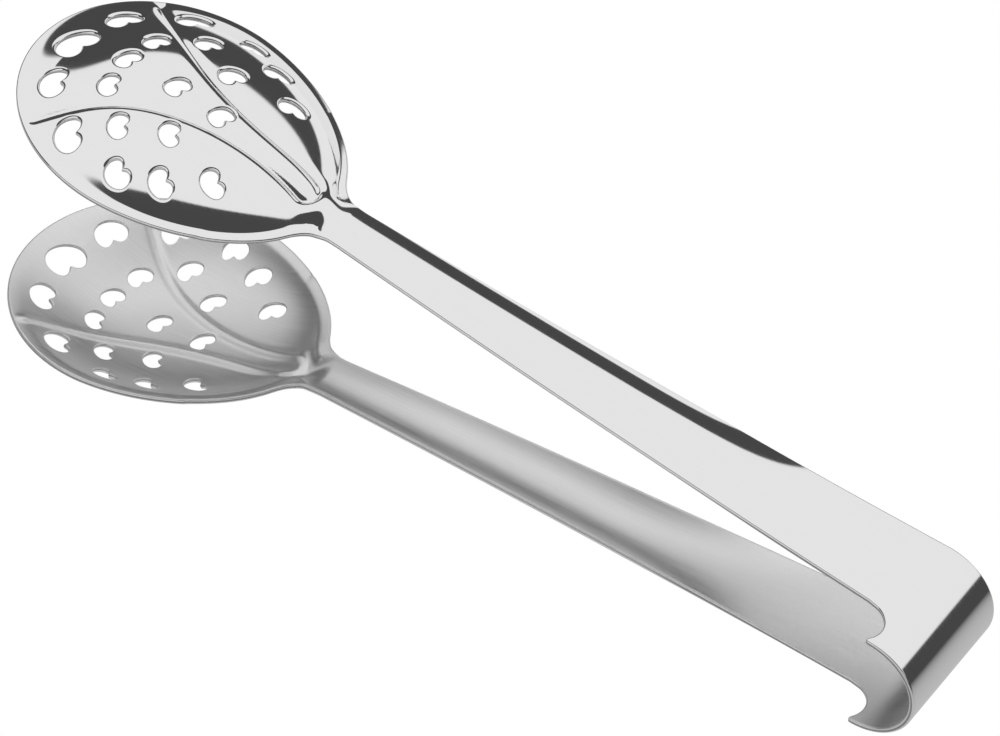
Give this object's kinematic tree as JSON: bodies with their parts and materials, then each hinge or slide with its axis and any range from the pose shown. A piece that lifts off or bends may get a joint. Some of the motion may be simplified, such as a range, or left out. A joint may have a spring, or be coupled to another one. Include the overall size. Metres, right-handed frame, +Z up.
{
  "type": "serving tongs",
  "caption": "Sprung stainless steel serving tongs bent from one strip, with perforated egg-shaped bowls, a hairpin rib in each bowl and a hanging hook beside the bow.",
  "frame": {"origin": "on the table under the middle of the outline, as the tongs stand on the lower bowl and the underside of the bow", "axes": "+X along the tongs from the bowls to the bow, +Y across them away from the hook, +Z up"},
  "size_m": [0.2228, 0.059, 0.0701],
  "materials": {
    "stainless_steel": "mirror polished outside, satin brushed inside"
  },
  "bodies": {
    "bow": {"bow": "stainless_steel"},
    "upper_jaw": {"upper_arm": "stainless_steel", "upper_bowl": "stainless_steel"},
    "lower_jaw": {"lower_arm": "stainless_steel", "lower_bowl": "stainless_steel"}
  },
  "joints": [
    {"name": "upper_squeeze", "type": "hinge", "parent": "bow", "child": "upper_jaw", "pos_m": [0.10123, 0, 0.02264], "axis": [0, -1, 0], "range_deg": [0, 7.5], "stiffness_Nm_per_rad": 8, "springref_deg": -1.72},
    {"name": "lower_squeeze", "type": "hinge", "parent": "bow", "child": "lower_jaw", "pos_m": [0.09851, 0, 0.00124], "axis": [0, 1, 0], "range_deg": [0, 7.5], "stiffness_Nm_per_rad": 8, "springref_deg": -1.72}
  ],
  "couplings": [
    {"joint": "lower_squeeze", "follows": "upper_squeeze", "ratio": 1}
  ]
}
